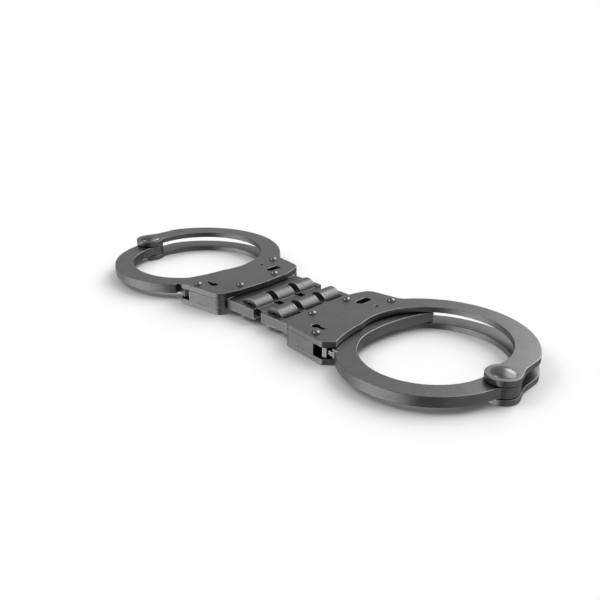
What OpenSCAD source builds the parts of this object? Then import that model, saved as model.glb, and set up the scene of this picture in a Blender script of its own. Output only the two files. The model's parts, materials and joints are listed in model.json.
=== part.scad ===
// Hinged handcuffs: two ratchet cuffs joined by a double-axis hinge, lying flat.
// +X runs along the pair, +Y towards the fixed double bows, +Z up from the rest plane.

/* [Cuff] */
// Distance from the hinge centre to each strand pivot
pivot_x = 100; // [85:1:120]
// Thickness of each cheek plate
plate_t = 2.4; // [1.8:0.1:3.2]
// Space between the two cheek plates
gap_t = 4.6; // [3.6:0.1:6]
// Outer radius of the fixed bow
bow_outer_r = 38.8; // [34:0.1:44]
// Radius of the wrist opening in the fixed bow
bow_inner_r = 28.2; // [24:0.1:32]
// Radius of the cheek boss around the strand pivot
boss_r = 6.4; // [5:0.1:9]
// Wrist-side edge of the lock housing, as a radius about the strand pivot
housing_r = 59.4; // [56:0.1:64]

/* [Strand] */
// Thickness of the swinging strand
strand_t = 4.2; // [3:0.1:5.4]
// Outer radius of the curved strand
strand_outer_r = 33.3; // [30:0.1:38]
// Inner radius of the curved strand
strand_inner_r = 25; // [22:0.1:30]
// Tip circle of the ratchet teeth, about the strand pivot
tooth_tip_r = 62.4; // [60:0.1:66]
// Depth of a ratchet tooth
tooth_depth = 1.1; // [0.6:0.05:1.8]
// Angle between neighbouring ratchet teeth
tooth_pitch = 2.4; // [1.8:0.1:4]
// Number of ratchet teeth
tooth_count = 22; // [12:1:26]
// Thickness of the central toothed rib
rib_t = 1.6; // [1:0.1:3]

/* [Lock] */
// Clearance between pawl and strand tooth tips when the pawl is lifted
pawl_gap = 0.25; // [0.1:0.05:0.5]
// Radius of the round part of the keyhole
key_r = 1.6; // [1.2:0.1:2.5]
// Width of the keyhole slot
key_slot_w = 1.5; // [1:0.1:2.5]
// Width of the double-lock slot
bar_slot_w = 3.3; // [2:0.1:5]
// Length of the double-lock slot
bar_slot_l = 7.4; // [5:0.1:10]
// Radius of a cheek rivet head
rivet_head_r = 1.9; // [1.5:0.1:3]
// Radius of a cheek rivet shank
rivet_r = 1.2; // [0.8:0.1:1.6]
// Radius of the domed strand pivot head
dome_r = 4.6; // [3.5:0.1:6]

/* [Hinge] */
// Distance of each hinge pin from the centre
pin_x = 7.2; // [6.5:0.1:10]
// Radius of a hinge knuckle
knuckle_r = 4.7; // [4:0.1:5.5]
// Length of one knuckle
knuckle_l = 9.2; // [7:0.1:12]
// Knuckle spacing along the pin
knuckle_pitch = 12.25; // [10:0.05:15]
// Radius of a hinge pin
pin_r = 2; // [1.5:0.1:2.8]
// Thickness of a hinge leaf finger
leaf_t = 4.2; // [3.4:0.1:5]
// Half width of a hinge leaf
leaf_half_w = 19.6; // [16:0.1:24]

/* [Quality] */
// Facets on round parts
$fn = 96; // [48:8:160]

/* [Hidden] */

fit = 0.05;
total_t = 2 * plate_t + gap_t;
mid_z = total_t / 2;
top_z = total_t - plate_t;
bow_c = [67.3, 3.7];
opening_c = [67.4, 6];
strand_c = [69.3, -0.5];
strand_inner_c = [69.3, -0.4];
tip_c = [104.6, 3.6];
tip_inner_r = 60.5;
pawl_t = 3.8;
rib_start = -22.6;
shoulder = [46.9, -22.9];
band_r = 60.6;
eye_r = 6.2;
pivot_r = 2.6;
y_shift = -(bow_c.y + bow_outer_r + strand_c.y - strand_outer_r) / 2;
hinge_x = 16.7;
hinge_front = [17.5, -14];
hinge_back = [17.5, 14];
hinge_corner = [19.6, -23.2];
front_corner = [41, -25.9];
back_corner = [20.6, 24.3];
chamfer_angle = -21.9;
bow_shoulder = [103.56, 17.65];
bow_neck = [104, 7.6];
rivet_sites = [[34.6, -21.7], [21.2, -9.8], [21.2, 9.8], [34.6, 21.7]];
key_site = [29.9, -16.9];
slot_site = [26.4, 14.2];
spring_pin_site = [33.8, 13.8];
spring_pin_r = 0.8;
pawl_pin_site = [33.8, 3.5];
pawl_pin_r = 1.2;
pawl_back_r = 66.1;
first_tooth = -23.4;
tip_angle = first_tooth + tooth_count * tooth_pitch;
core_r = tooth_tip_r + 0.5;
pin_l = 2 * leaf_half_w - 0.8;
rivet_crown = 1.3;
dome_crown = 1.4;
steel_dark = [0.27, 0.27, 0.28];
steel_mid = [0.36, 0.36, 0.37];
steel_light = [0.6, 0.6, 0.62];

// Point at angle a (degrees, from the housing side towards +Y) and radius r about the strand pivot.
function polar(r, a) = [pivot_x - r * cos(a), r * sin(a)];

// Points along an arc about c.
function arc(c, r, a0, a1, n = 24) =
  [for (i = [0 : n]) let (a = a0 + (a1 - a0) * i / n) c + r * [cos(a), sin(a)]];

// Points along an arc about the strand pivot.
function pivot_arc(r, a0, a1, n = 24) =
  [for (i = [0 : n]) polar(r, a0 + (a1 - a0) * i / n)];

function unit(v) = v / norm(v);

// Fillet points for corner p between a and b.
function fillet(a, p, b, r, n = 6) =
  let (
    u = unit(a - p), v = unit(b - p),
    half = acos(u * v) / 2,
    reach = r / tan(half),
    c = p + unit(u + v) * r / sin(half),
    s = p + u * reach - c, e = p + v * reach - c,
    a0 = atan2(s.y, s.x), turn = atan2(s.x * e.y - s.y * e.x, s * e)
  )
  [for (i = [0 : n]) c + r * [cos(a0 + turn * i / n), sin(a0 + turn * i / n)]];

// Point where two circles cross, to the left (side 1) or right (side -1) of c0 -> c1.
function crossing(c0, r0, c1, r1, side) =
  let (
    d = norm(c1 - c0), u = (c1 - c0) / d,
    a = (r0 * r0 - r1 * r1 + d * d) / (2 * d),
    h = sqrt(r0 * r0 - a * a)
  )
  c0 + u * a + side * h * [-u.y, u.x];

// Direction of p seen from c, in degrees.
function bearing(c, p) = atan2(p.y - c.y, p.x - c.x);

// Layer from z0 with height h, in the cuff frame.
module slab(z0, h) {
  translate([0, y_shift, z0])
    linear_extrude(height = h)
      children();
}

// Mirrors a right-hand module to the left cuff.
module left() {
  mirror([1, 0, 0])
    children();
}

// ---- cheek plates ----
// One closed outline: housing front, wrist edge, opening, boss, bow and housing back.
module cheek_outline_2d() {
  pivot = [pivot_x, 0];
  notch = crossing(pivot, housing_r, opening_c, bow_inner_r, 1);
  boss_in = crossing(opening_c, bow_inner_r, pivot, boss_r, 1);
  chamfer = polar(housing_r, chamfer_angle);
  neck_bearing = bearing(pivot, bow_neck);
  boss_end = 360 + neck_bearing - acos(boss_r / norm(bow_neck - pivot));
  polygon(concat(
    fillet(hinge_corner, front_corner, chamfer, 1.8),
    pivot_arc(housing_r, chamfer_angle, asin(notch.y / housing_r) - 0.6, 32),
    arc(opening_c, bow_inner_r, bearing(opening_c, notch) + 360, bearing(opening_c, boss_in) + 2, 60),
    arc(pivot, boss_r, bearing(pivot, boss_in), boss_end - 2, 40),
    fillet(polar(-boss_r, 360 - boss_end), bow_neck, bow_shoulder, 9),
    fillet(bow_neck, bow_shoulder, bow_c + bow_outer_r * [cos(24), sin(24)], 9),
    arc(bow_c, bow_outer_r, 24, 137.4, 60),
    fillet([38.75, 29.95], [35.6, 26.4], back_corner, 5),
    fillet([35.6, 26.4], back_corner, hinge_back, 5.2),
    fillet(back_corner, hinge_back, [hinge_x, 0], 12),
    fillet(hinge_back, [hinge_x, 0], hinge_front, 60),
    fillet([hinge_x, 0], hinge_front, hinge_corner, 12),
    fillet(hinge_front, hinge_corner, front_corner, 3.6)
  ));
}

module cheek_2d() {
  difference() {
    cheek_outline_2d();
    translate([pivot_x, 0])
      circle(r = pivot_r);
    for (p = rivet_sites)
      translate(p)
        circle(r = rivet_r);
  }
}

module keyhole_2d() {
  translate(key_site) {
    circle(r = key_r);
    translate([0, -key_slot_w / 2])
      square([4.5, key_slot_w]);
  }
}

module bar_slot_2d() {
  for (s = [-1, 1])
    translate(slot_site + [0, s * (bar_slot_l - bar_slot_w) / 2])
      circle(r = bar_slot_w / 2);
  translate(slot_site - [bar_slot_w, bar_slot_l - bar_slot_w] / 2)
    square([bar_slot_w, bar_slot_l - bar_slot_w]);
}

module top_cheek() {
  color(steel_dark)
    slab(top_z, plate_t)
      difference() {
        cheek_2d();
        keyhole_2d();
        bar_slot_2d();
        translate(spring_pin_site)
          circle(r = spring_pin_r);
      }
}

module bottom_cheek() {
  color(steel_dark)
    slab(0, plate_t)
      difference() {
        cheek_2d();
        translate(key_site)
          circle(r = 0.9);
        translate(pawl_pin_site)
          circle(r = pawl_pin_r);
      }
}

// ---- lock core ----
// Room for the pawl and its swing, open at the strand entrance.
module pawl_room_2d() {
  polygon(concat(
    pivot_arc(core_r - 2, -30, 7, 20),
    [[31.2, 7.6], [30.6, 0.5], [31.4, -9], [33.2, -17], [35.3, -19.2]],
    [[36, -21], [36.4, -23], [36.6, -28]]
  ));
}

module lock_core() {
  color(steel_mid)
    slab(plate_t, gap_t)
      difference() {
        intersection() {
          cheek_outline_2d();
          translate([18.9, -30])
            square([30, 57.5]);
        }
        translate([pivot_x, 0])
          circle(r = core_r);
        pawl_room_2d();
        translate(key_site)
          circle(r = 4.3);
        translate(key_site)
          square([7, 4.3]);
        translate([26, -9.6])
          square([3.6, 31.4]);
        translate([28, -9.6])
          square([6.4, 4.8]);
        translate([10, -13.6])
          square([14.6, 27.2]);
        translate(spring_pin_site)
          circle(r = spring_pin_r);
        for (p = rivet_sites)
          translate(p)
            circle(r = rivet_r);
      }
}

// ---- strand ----
// Ratchet tooth number i, gentle flank towards the tip of the strand.
function tooth(i) =
  let (a = first_tooth + i * tooth_pitch)
  [
    polar(tooth_tip_r - tooth_depth, a),
    polar(tooth_tip_r, a + 0.15 * tooth_pitch),
    polar(tooth_tip_r, a + 0.3 * tooth_pitch),
    polar(tooth_tip_r - tooth_depth, a + 0.9 * tooth_pitch)
  ];

module strand_2d() {
  eye_join = crossing([pivot_x, 0], eye_r, strand_c, strand_outer_r, 1);
  polygon(concat(
    fillet([104.6, -4.1], eye_join, strand_c + strand_outer_r * [cos(16), -sin(16)], 5),
    arc(strand_c, strand_outer_r, -16, -133, 60),
    [shoulder],
    pivot_arc(band_r, rib_start + 0.4, tip_angle - 1, 40),
    fillet(polar(band_r, tip_angle - 2), polar(band_r - 0.2, tip_angle + 1),
      polar(band_r - 4, tip_angle + 1), 1.5),
    arc(tip_c, tip_inner_r, 154.6, 186.2, 32),
    arc(strand_inner_c, strand_inner_r, -174, -5, 68)
  ));
}

module toothed_rib_2d() {
  polygon(concat(
    [polar(band_r - 1.2, rib_start), polar(61.4, rib_start), polar(61.4, -22)],
    [polar(tooth_tip_r, -21.9), polar(tooth_tip_r, -21.6)],
    [polar(tooth_tip_r - tooth_depth, -21.2)],
    [for (i = [1 : tooth_count - 1]) each tooth(i)],
    fillet(polar(tooth_tip_r - tooth_depth, tip_angle - 2), polar(60.9, tip_angle + 1),
      polar(band_r - 2, tip_angle + 1), 1),
    pivot_arc(band_r - 1.2, tip_angle - 1, -18, 40)
  ));
}

module strand() {
  color(steel_dark)
    difference() {
      union() {
        slab(mid_z - strand_t / 2, strand_t) {
          strand_2d();
          translate([pivot_x, 0])
            circle(r = eye_r);
        }
        slab(mid_z - rib_t / 2, rib_t)
          toothed_rib_2d();
      }
      slab(0, total_t)
        translate([pivot_x, 0])
          circle(r = pivot_r + fit);
    }
}

// Domed head: a spherical cap of base radius r and height h on z = 0.
module cap(r, h) {
  ball_r = (r * r + h * h) / (2 * h);
  intersection() {
    translate([0, 0, h - ball_r])
      sphere(r = ball_r);
    cylinder(r = r, h = h);
  }
}

module pivot_rivet() {
  color(steel_mid)
    translate([pivot_x, y_shift, 0]) {
      cylinder(r = pivot_r, h = total_t);
      translate([0, 0, total_t])
        cap(dome_r, dome_crown);
    }
}

module cheek_rivets() {
  color(steel_light)
    for (p = rivet_sites)
      translate([p.x, p.y + y_shift, 0]) {
        cylinder(r = rivet_r, h = total_t);
        translate([0, 0, total_t])
          cap(rivet_head_r, rivet_crown);
      }
}

// ---- pawl and double lock ----
function pawl_tooth(i) =
  let (a = first_tooth + i * tooth_pitch, r = tooth_tip_r + pawl_gap)
  [
    polar(r + tooth_depth, a + 0.2 * tooth_pitch),
    polar(r, a + 0.78 * tooth_pitch),
    polar(r, a + 0.86 * tooth_pitch),
    polar(r + tooth_depth, a + 1.02 * tooth_pitch)
  ];

module pawl() {
  color(steel_light)
    slab(mid_z - pawl_t / 2, pawl_t)
      difference() {
        union() {
          polygon(concat(
            [polar(64.4, rib_start), polar(tooth_tip_r + pawl_gap, rib_start)],
            [polar(tooth_tip_r + pawl_gap, -22.2)],
            [polar(tooth_tip_r + pawl_gap + tooth_depth, -22.1)],
            [for (i = [1 : 3]) each pawl_tooth(i)],
            pivot_arc(tooth_tip_r + pawl_gap + tooth_depth, -12, 2.6, 10),
            pivot_arc(pawl_back_r + 1.4, 4, 0, 4),
            pivot_arc(pawl_back_r, -3.5, -13, 8),
            [polar(65.4, -18)]
          ));
          translate(pawl_pin_site)
            circle(r = 2.4);
        }
        translate(pawl_pin_site)
          circle(r = pawl_pin_r + fit);
      }
}

module pawl_pin() {
  color(steel_light)
    slab(0, top_z)
      translate(pawl_pin_site)
        circle(r = pawl_pin_r);
}

// Flat spring behind the pawl, drawn relaxed.
module pawl_spring() {
  color(steel_light)
    slab(mid_z - 1.4, 2.8)
      polygon(concat(
        pivot_arc(pawl_back_r + 1.3, -4.5, -12, 12),
        pivot_arc(pawl_back_r + 1.7, -12, -4.5, 12)
      ));
}

module spring_pin() {
  color(steel_mid)
    slab(plate_t, total_t - plate_t - 1.6)
      translate(spring_pin_site)
        circle(r = spring_pin_r);
}

// Bar that slides along Y to block the pawl.
module double_lock_bar() {
  color(steel_light)
    slab(plate_t + 0.2, 2.6) {
      translate([26.2, -6.4])
        square([3.2, 25]);
      translate([26.2, -6.4])
        square([4.8, 1.4]);
    }
}

module key_post() {
  color(steel_light)
    slab(0, total_t - plate_t - 1.5)
      translate(key_site)
        circle(r = 0.9);
}

// ---- hinge ----
module leaf_2d() {
  difference() {
    union() {
      translate([pin_x - 4.95, -leaf_half_w])
        square([18.6 - pin_x + 4.95, 2 * leaf_half_w]);
      translate([18, -13.5])
        square([6.4, 27]);
    }
    for (k = [-1 : 1])
      translate([0, k * knuckle_pitch - knuckle_l / 2 - 0.1])
        square([pin_x + knuckle_r + 1.1, knuckle_l + 0.2]);
    for (s = [-1, 1])
      translate([21.2, s * 9.8])
        circle(r = rivet_r);
  }
}

// Cylinder lying along Y on the hinge axis of the right cuff.
module on_pin(r, y0, y1) {
  translate([pin_x, y1 + y_shift, mid_z])
    rotate([90, 0, 0])
      cylinder(r = r, h = y1 - y0);
}

module hinge_leaf() {
  color(steel_dark)
    difference() {
      union() {
        slab(mid_z - leaf_t / 2, leaf_t)
          leaf_2d();
        slab(plate_t, gap_t)
          intersection() {
            leaf_2d();
            translate([18.2, -30])
              square([20, 60]);
          }
      }
      on_pin(pin_r + fit, -pin_l / 2 - fit, 60);
    }
}

module hinge_pin() {
  color(steel_light)
    on_pin(pin_r, -pin_l / 2, leaf_half_w - 0.2);
}

// Figure-eight link with a counterbored front face on both axes.
module hinge_link(k) {
  y0 = k * knuckle_pitch - knuckle_l / 2;
  color(steel_light)
    difference() {
      union() {
        for (m = [0, 1])
          mirror([m, 0, 0])
            on_pin(knuckle_r, y0, y0 + knuckle_l);
        translate([-pin_x, y0 + y_shift, mid_z - 1.6])
          cube([2 * pin_x, knuckle_l, 3.2]);
      }
      for (m = [0, 1])
        mirror([m, 0, 0]) {
          on_pin(pin_r, y0 - 1, y0 + knuckle_l + 1);
          on_pin(2.7, y0 - 1, y0 + 0.9);
        }
    }
}

left() top_cheek();  // left_top_cheek
left() bottom_cheek();  // left_bottom_cheek
left() lock_core();  // left_lock_core
left() strand();  // left_strand
left() pivot_rivet();  // left_pivot_rivet
left() cheek_rivets();  // left_cheek_rivets
left() pawl();  // left_pawl
left() pawl_pin();  // left_pawl_pin
left() pawl_spring();  // left_pawl_spring
left() spring_pin();  // left_spring_pin
left() double_lock_bar();  // left_double_lock_bar
left() key_post();  // left_key_post
left() hinge_leaf();  // left_hinge_leaf
left() hinge_pin();  // left_hinge_pin
hinge_link(-1);  // front_hinge_link
hinge_link(0);  // middle_hinge_link
hinge_link(1);  // back_hinge_link
hinge_pin();  // right_hinge_pin
hinge_leaf();  // right_hinge_leaf
top_cheek();  // right_top_cheek
bottom_cheek();  // right_bottom_cheek
lock_core();  // right_lock_core
strand();  // right_strand
pivot_rivet();  // right_pivot_rivet
cheek_rivets();  // right_cheek_rivets
pawl();  // right_pawl
pawl_pin();  // right_pawl_pin
pawl_spring();  // right_pawl_spring
spring_pin();  // right_spring_pin
double_lock_bar();  // right_double_lock_bar
key_post();  // right_key_post
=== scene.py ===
import json
import math

import bpy
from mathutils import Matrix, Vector

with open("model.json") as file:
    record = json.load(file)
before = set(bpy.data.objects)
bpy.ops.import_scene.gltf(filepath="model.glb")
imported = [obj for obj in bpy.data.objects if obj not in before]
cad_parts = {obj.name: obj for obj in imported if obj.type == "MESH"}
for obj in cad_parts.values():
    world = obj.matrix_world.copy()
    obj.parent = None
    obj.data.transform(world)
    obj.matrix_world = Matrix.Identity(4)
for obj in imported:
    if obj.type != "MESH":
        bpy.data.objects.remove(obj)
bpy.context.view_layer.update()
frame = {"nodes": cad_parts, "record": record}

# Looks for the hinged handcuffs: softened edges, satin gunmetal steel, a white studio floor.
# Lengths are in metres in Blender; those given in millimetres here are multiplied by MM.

MM = 0.001

# ---------------------------------------------------------------- node helpers


def add(tree, kind, inputs=None, **settings):
    """A node of that kind, with its settings, and inputs given as values or as sockets to link."""
    node = tree.nodes.new(kind)
    for key, value in settings.items():
        setattr(node, key, value)
    for key, value in (inputs or {}).items():
        if isinstance(value, bpy.types.NodeSocket):
            tree.links.new(value, node.inputs[key])
        else:
            node.inputs[key].default_value = value
    return node


def remap(tree, value, from_range, to_range, smooth=True):
    """value carried from one range to another, held at the ends."""
    kind = "SMOOTHSTEP" if smooth else "LINEAR"
    node = add(tree, "ShaderNodeMapRange", interpolation_type=kind)
    tree.links.new(value, node.inputs["Value"])
    node.inputs["From Min"].default_value, node.inputs["From Max"].default_value = from_range
    node.inputs["To Min"].default_value, node.inputs["To Max"].default_value = to_range
    return node.outputs["Result"]


def math_node(tree, operation, a, b):
    """An operation on two values or sockets."""
    return add(tree, "ShaderNodeMath", {0: a, 1: b}, operation=operation).outputs[0]


def mix_colour(tree, factor, a, b):
    """Colour a carried to colour b by factor."""
    # The colour sockets of the Mix node share their names with others, so they go by number.
    node = add(tree, "ShaderNodeMix", {0: factor, 6: a, 7: b}, data_type="RGBA")
    return node.outputs[2]


def noise(tree, coords, scale, detail=3.0, stretch=(1, 1, 1)):
    """Noise with features per millimetre, drawn out along an axis where stretch is small."""
    size = [scale * s / MM for s in stretch]
    mapping = add(tree, "ShaderNodeMapping", {"Vector": coords, "Scale": size})
    inputs = {"Vector": mapping.outputs[0], "Scale": 1.0, "Detail": detail}
    return add(tree, "ShaderNodeTexNoise", inputs).outputs["Fac"]


# ---------------------------------------------------------------- steel

# Features of the noises, per millimetre.
BRUSH_SCALE = 3.6
MOTTLE_SCALE = 0.16
SPECKLE_SCALE = 1.9
RUB_SCALE = 0.5

# Bare steel on rubbed edges, light enough to stand also for painted highlights along the edges.
WORN_AND_HIGHLIGHT_COLOUR = [0.42, 0.42, 0.41, 1]
WEAR_AND_HIGHLIGHT_RADIUS = 0.8 * MM
# Cosines of the turn of the surface where the wear, with its painted highlight, starts and where
# it is full.
WEAR_AND_HIGHLIGHT_TURN = (0.995, 0.9)
WORN_POLISH = 0.08

# Painted shade in crevices, seams and holes: how far round the shader looks for enclosing
# surfaces.
CREVICE_SHADE_REACH = 2.2 * MM
# Open shares of the surroundings where the painted crevice shade is full and where it is gone.
CREVICE_SHADE_SHARES = (0.12, 0.55)
# Below this height the colour is darkened towards the piece's foot: painted shade.
SHADE_HEIGHT = 3.0 * MM
BUMP_STRENGTH = 0.5


def steel(
    name, tone, rough, grain=(0.3, 1, 1), grain_depth=0.004, wear_and_highlight=0.5, crevice_shade=0.12, under=1.0
):
    """Satin blued steel: drawn grain, mottling, bare metal on rubbed edges that also paints their
    highlights, and painted shade in crevices and at the piece's foot.

    tone and rough are the metal's mid level and roughness. grain stretches the brushing,
    grain_depth is its bump in mm, wear_and_highlight is how much bare metal and painted edge
    highlight shows, crevice_shade is the level of painted shade left in a deep crevice, and under
    is the level of painted shade left at the piece's foot.
    """
    material = bpy.data.materials.new(name)
    material.use_nodes = True
    tree = material.node_tree
    tree.nodes.clear()
    coords = add(tree, "ShaderNodeTexCoord").outputs["Object"]

    brushed = noise(tree, coords, BRUSH_SCALE, 4.0, grain)
    mottle = noise(tree, coords, MOTTLE_SCALE, 3.0)
    speckle = noise(tree, coords, SPECKLE_SCALE, 2.0)

    shade = remap(tree, brushed, (0.3, 0.7), (0.0, 1.0), smooth=False)
    dark = [tone * 0.84, tone * 0.84, tone * 0.86, 1]
    light = [tone * 1.18, tone * 1.17, tone * 1.16, 1]
    colour = mix_colour(tree, shade, dark, light)
    stain = remap(tree, mottle, (0.35, 0.7), (0.0, 0.35))
    colour = mix_colour(tree, stain, colour, [tone * 0.72, tone * 0.73, tone * 0.77, 1])
    dust = remap(tree, speckle, (0.55, 0.75), (0.0, 0.25))
    colour = mix_colour(tree, dust, colour, [tone * 1.6, tone * 1.6, tone * 1.58, 1])

    # An edge is where the normal turns away from the one averaged over the wear radius. Its bare
    # metal is light and also paints a highlight along the edge.
    geometry = add(tree, "ShaderNodeNewGeometry")
    rounded = add(tree, "ShaderNodeBevel", {"Radius": WEAR_AND_HIGHLIGHT_RADIUS}, samples=6)
    pair = {0: geometry.outputs["Normal"], 1: rounded.outputs[0]}
    facing = add(tree, "ShaderNodeVectorMath", pair, operation="DOT_PRODUCT").outputs["Value"]
    edge = remap(tree, facing, WEAR_AND_HIGHLIGHT_TURN, (0.0, 1.0))
    patchy = remap(tree, noise(tree, coords, RUB_SCALE, 4.0), (0.35, 0.62), (0.25, 1.0))
    worn_and_highlight = math_node(tree, "MULTIPLY", edge, patchy)
    worn_and_highlight = math_node(tree, "MULTIPLY", worn_and_highlight, wear_and_highlight)
    colour = mix_colour(tree, worn_and_highlight, colour, WORN_AND_HIGHLIGHT_COLOUR)

    # Painted shade: crevices and the foot of the piece are darker.
    low = add(tree, "ShaderNodeSeparateXYZ", {0: coords}).outputs["Z"]
    lit = remap(tree, low, (0.0, SHADE_HEIGHT), (under, 1.0))
    open_sky = add(tree, "ShaderNodeAmbientOcclusion", {"Distance": CREVICE_SHADE_REACH}, samples=8)
    painted_shade_level = remap(tree, open_sky.outputs["AO"], CREVICE_SHADE_SHARES, (crevice_shade, 1.0))
    painted_shade_level = math_node(tree, "MULTIPLY", painted_shade_level, lit)
    colour = add(tree, "ShaderNodeVectorMath", {0: colour, "Scale": painted_shade_level}, operation="SCALE")
    colour = colour.outputs[0]

    gloss = remap(tree, brushed, (0.3, 0.7), (rough + 0.05, rough - 0.04), smooth=False)
    gloss = math_node(tree, "SUBTRACT", gloss, math_node(tree, "MULTIPLY", worn_and_highlight, WORN_POLISH))

    height = math_node(tree, "ADD", brushed, math_node(tree, "MULTIPLY", speckle, 0.6))
    bump_inputs = {"Height": height, "Strength": BUMP_STRENGTH, "Distance": grain_depth * MM}
    bump = add(tree, "ShaderNodeBump", bump_inputs)

    inputs = {
        "Metallic": 1.0,
        "Base Color": colour,
        "Roughness": gloss,
        "Normal": bump.outputs[0],
    }
    shader = add(tree, "ShaderNodeBsdfPrincipled", inputs)
    add(tree, "ShaderNodeOutputMaterial", {"Surface": shader.outputs[0]})
    return material


# By the record's material slot.
FINISH = {
    "cheek": steel("cheek_steel", 0.135, 0.34),
    "strand": steel("strand_steel", 0.135, 0.34),
    "core": steel("core_steel", 0.14, 0.42),
    # The knuckles carry painted shade in their crevices and over their lowest 3 mm.
    "knuckle": steel("knuckle_steel", 0.115, 0.37, grain=(1, 0.2, 1), crevice_shade=0.6, under=0.3),
    "leaf": steel("leaf_steel", 0.115, 0.36, grain=(1, 0.3, 1), crevice_shade=0.4),
    "rivet": steel("rivet_steel", 0.14, 0.12, grain=(1, 1, 1), wear_and_highlight=0.15),
    "pivot": steel("pivot_steel", 0.115, 0.25, grain=(1, 1, 1), wear_and_highlight=0.3),
    "lock_work": steel("lock_work_steel", 0.24, 0.40, wear_and_highlight=0.3, crevice_shade=0.5),
}
# Painted shade: the spring pins are near black, standing for the shade in the bores at the
# knuckles' ends.
SHADE_PAINTED_PIN = steel("pin_steel_painted_shade", 0.025, 0.5, wear_and_highlight=0.0)

# ---------------------------------------------------------------- edges

# Width of the broken edge, in millimetres, by the last words of the node's name. Nodes whose
# name ends otherwise keep the CAD mesh as it is.
EDGE_BREAK = {
    "cheek": 0.3,
    "strand": 0.35,
    "lock_core": 0.15,
    "hinge_link": 0.12,
    "hinge_leaf": 0.1,
    "pivot_rivet": 0.12,
    "cheek_rivets": 0.0,
    "pawl": 0.1,
    "double_lock_bar": 0.15,
}
# Only the edges round the top and bottom of these are broken: their walls meet at near-tangent
# edges, where a bevel would fold.
RIM_ONLY = ("strand", "cheek", "lock_core")

BEVEL_ANGLE = math.radians(32)
CRISP_ANGLE = math.radians(50)
FLAT_ANGLE = math.radians(0.3)
JOIN_DISTANCE = 0.0005 * MM
RIM_REACH = 0.02 * MM
FLAT_FACE_WEIGHT = 90


def mesh_nodes(name):
    """An empty geometry node tree, with its incoming mesh and the socket for the outgoing one."""
    tree = bpy.data.node_groups.new(name, "GeometryNodeTree")
    for in_out in ("INPUT", "OUTPUT"):
        tree.interface.new_socket("Mesh", in_out=in_out, socket_type="NodeSocketGeometry")
    start = add(tree, "NodeGroupInput")
    end = add(tree, "NodeGroupOutput")
    return tree, start.outputs[0], end.inputs[0]


def edge_angle(tree):
    """The angle between the two faces at each edge, in radians."""
    return add(tree, "GeometryNodeInputMeshEdgeAngle").outputs["Unsigned Angle"]


def fresh_normals():
    """Geometry nodes that drop a mesh's stored normals and shade all of it smoothly."""
    tree, mesh, result = mesh_nodes("Fresh_normals")
    inputs = {"Mesh": mesh, "Remove Custom": True, "Face Sharpness": False}
    normals = add(tree, "GeometryNodeSetMeshNormal", inputs, mode="SHARPNESS")
    tree.links.new(normals.outputs[0], result)
    return tree


def rim_edges():
    """Geometry nodes that mark the edges round a mesh's top and bottom faces for the bevel."""
    tree, mesh, result = mesh_nodes("Rim_edges")
    position = add(tree, "GeometryNodeInputPosition").outputs[0]
    height = add(tree, "ShaderNodeSeparateXYZ", {0: position}).outputs[2]
    box = add(tree, "GeometryNodeBoundBox", {"Geometry": mesh})
    near = []
    for corner in ("Min", "Max"):
        level = add(tree, "ShaderNodeSeparateXYZ", {0: box.outputs[corner]}).outputs[2]
        away = math_node(tree, "SUBTRACT", height, level)
        away = math_node(tree, "ABSOLUTE", away, 0.0)
        near.append(math_node(tree, "LESS_THAN", away, RIM_REACH))
    sharp = math_node(tree, "GREATER_THAN", edge_angle(tree), BEVEL_ANGLE)
    rim = math_node(tree, "MULTIPLY", math_node(tree, "MAXIMUM", *near), sharp)
    inputs = {"Geometry": mesh, "Name": "bevel_weight_edge", "Value": rim}
    kind = "GeometryNodeStoreNamedAttribute"
    store = add(tree, kind, inputs, data_type="FLOAT", domain="EDGE")
    tree.links.new(store.outputs[0], result)
    return tree


def crisp_edges():
    """Geometry nodes that keep the edges which the bevel left alone sharp in the shading."""
    tree, mesh, result = mesh_nodes("Crisp_edges")
    sharp = math_node(tree, "GREATER_THAN", edge_angle(tree), CRISP_ANGLE)
    inputs = {0: mesh, "Selection": sharp, "Shade Smooth": False}
    crisp = add(tree, "GeometryNodeSetShadeSmooth", inputs, domain="EDGE")
    tree.links.new(crisp.outputs[0], result)
    return tree


FRESH = fresh_normals()
RIM = rim_edges()
CRISP = crisp_edges()


def break_edges(obj, width, rim_only):
    """Bevels the sharp edges of a CAD node, or only those round its top and bottom."""
    if rim_only:
        obj.modifiers.new("Rim_edges", "NODES").node_group = RIM
    bevel = obj.modifiers.new("Edge_break", "BEVEL")
    bevel.width = width * MM
    bevel.segments = 2
    bevel.limit_method = "WEIGHT" if rim_only else "ANGLE"
    bevel.angle_limit = BEVEL_ANGLE
    bevel.use_clamp_overlap = False
    bevel.miter_outer = "MITER_ARC"


def soften(obj, width, rim_only):
    """Evens the shading of a CAD node and breaks its edges with modifiers, its mesh untouched."""
    weld = obj.modifiers.new("Join", "WELD")
    weld.merge_threshold = JOIN_DISTANCE
    obj.modifiers.new("Fresh_normals", "NODES").node_group = FRESH
    flat = obj.modifiers.new("Merge_flat_faces", "DECIMATE")
    flat.decimate_type = "DISSOLVE"
    flat.angle_limit = FLAT_ANGLE
    if width > 0:
        break_edges(obj, width, rim_only)
    obj.modifiers.new("Crisp_edges", "NODES").node_group = CRISP
    shading = obj.modifiers.new("Even_shading", "WEIGHTED_NORMAL")
    shading.weight = FLAT_FACE_WEIGHT
    shading.keep_sharp = True


SLOT_OF = {row["node"]: row["material_slot"] for row in frame["record"]["subparts"]}

for name, obj in frame["nodes"].items():
    finish = SHADE_PAINTED_PIN if name.endswith("spring_pin") else FINISH[SLOT_OF[name]]
    obj.data.materials.clear()
    obj.data.materials.append(finish)
    for ending, width in EDGE_BREAK.items():
        if name.endswith(ending):
            soften(obj, width, rim_only=ending in RIM_ONLY)

# ---------------------------------------------------------------- studio


def direction(azimuth, elevation):
    """The unit vector at an azimuth from +X and an elevation, both in degrees."""
    a, e = math.radians(azimuth), math.radians(elevation)
    return Vector((math.cos(a) * math.cos(e), math.sin(a) * math.cos(e), math.sin(e)))


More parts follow.
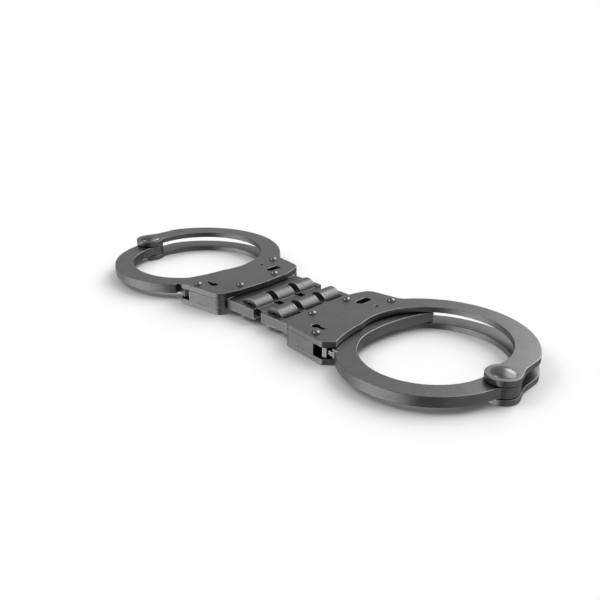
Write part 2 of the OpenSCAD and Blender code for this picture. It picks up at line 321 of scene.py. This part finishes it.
def make_world(base, panels):
    """Studio surroundings: a base level and soft-edged round panels of light."""
    world = bpy.data.worlds.new("Studio")
    world.use_nodes = True
    tree = world.node_tree
    tree.nodes.clear()
    towards = add(tree, "ShaderNodeTexCoord").outputs["Generated"]
    total = None
    for azimuth, elevation, core, edge, level in panels:
        pair = {0: towards, 1: tuple(direction(azimuth, elevation))}
        facing = add(tree, "ShaderNodeVectorMath", pair, operation="DOT_PRODUCT")
        limits = (math.cos(math.radians(edge)), math.cos(math.radians(core)))
        panel = remap(tree, facing.outputs["Value"], limits, (0.0, level))
        total = panel if total is None else math_node(tree, "ADD", total, panel)
    total = math_node(tree, "ADD", total, base)
    background = add(tree, "ShaderNodeBackground", {"Strength": total})
    add(tree, "ShaderNodeOutputWorld", {"Surface": background.outputs[0]})
    bpy.context.scene.world = world


make_world(
    base=0.22,
    panels=[
        # azimuth, elevation, full inside, gone outside (degrees), level
        (72, 50, 6, 34, 3.7),
        (101, 28, 6, 18, 6.0),
        (-137, 47, 6, 18, 5.0),
        (135, 22, 10, 50, 0.5),
        (-112, -20, 8, 46, 2.4),
        (-165, -20, 10, 45, 0.6),
        (15, -25, 15, 60, 0.5),
        (75, -20, 10, 50, 0.2),
        (0, 90, 15, 80, 0.5),
    ],
)

FLOOR_HALF = 6.0
FLOOR_DROP = 0.02 * MM
FLOOR_COLOUR = (0.87, 0.87, 0.87, 1)


def make_floor():
    """A matt white sheet just under the part.

    The steel doesn't reflect it, and it lets the low panels of light through from below.
    """
    mesh = bpy.data.meshes.new("Floor")
    half = FLOOR_HALF
    corners = [(-half, -half, 0), (half, -half, 0), (half, half, 0), (-half, half, 0)]
    mesh.from_pydata(corners, [], [(0, 1, 2, 3)])
    floor = bpy.data.objects.new("Floor", mesh)
    bpy.context.scene.collection.objects.link(floor)
    material = bpy.data.materials.new("Paper")
    material.use_nodes = True
    shader = material.node_tree.nodes["Principled BSDF"]
    shader.inputs["Base Color"].default_value = FLOOR_COLOUR
    shader.inputs["Roughness"].default_value = 0.9
    shader.inputs["Specular IOR Level"].default_value = 0.0
    mesh.materials.append(material)
    floor.visible_glossy = False
    floor.visible_shadow = False
    floor.location.z = -FLOOR_DROP


make_floor()


def make_camera():
    """A camera at the photograph's viewing angle: 45 degrees round, 22.5 degrees above."""
    data = bpy.data.cameras.new("Camera")
    data.sensor_width = 36.0
    data.lens = 48.67
    camera = bpy.data.objects.new("Camera", data)
    camera.location = (0.2213, -0.22085, 0.1344)
    camera.rotation_euler = (math.radians(67.47), 0.0, math.radians(45.04))
    bpy.context.scene.collection.objects.link(camera)
    bpy.context.scene.camera = camera


make_camera()
bpy.context.scene.view_settings.view_transform = "Standard"
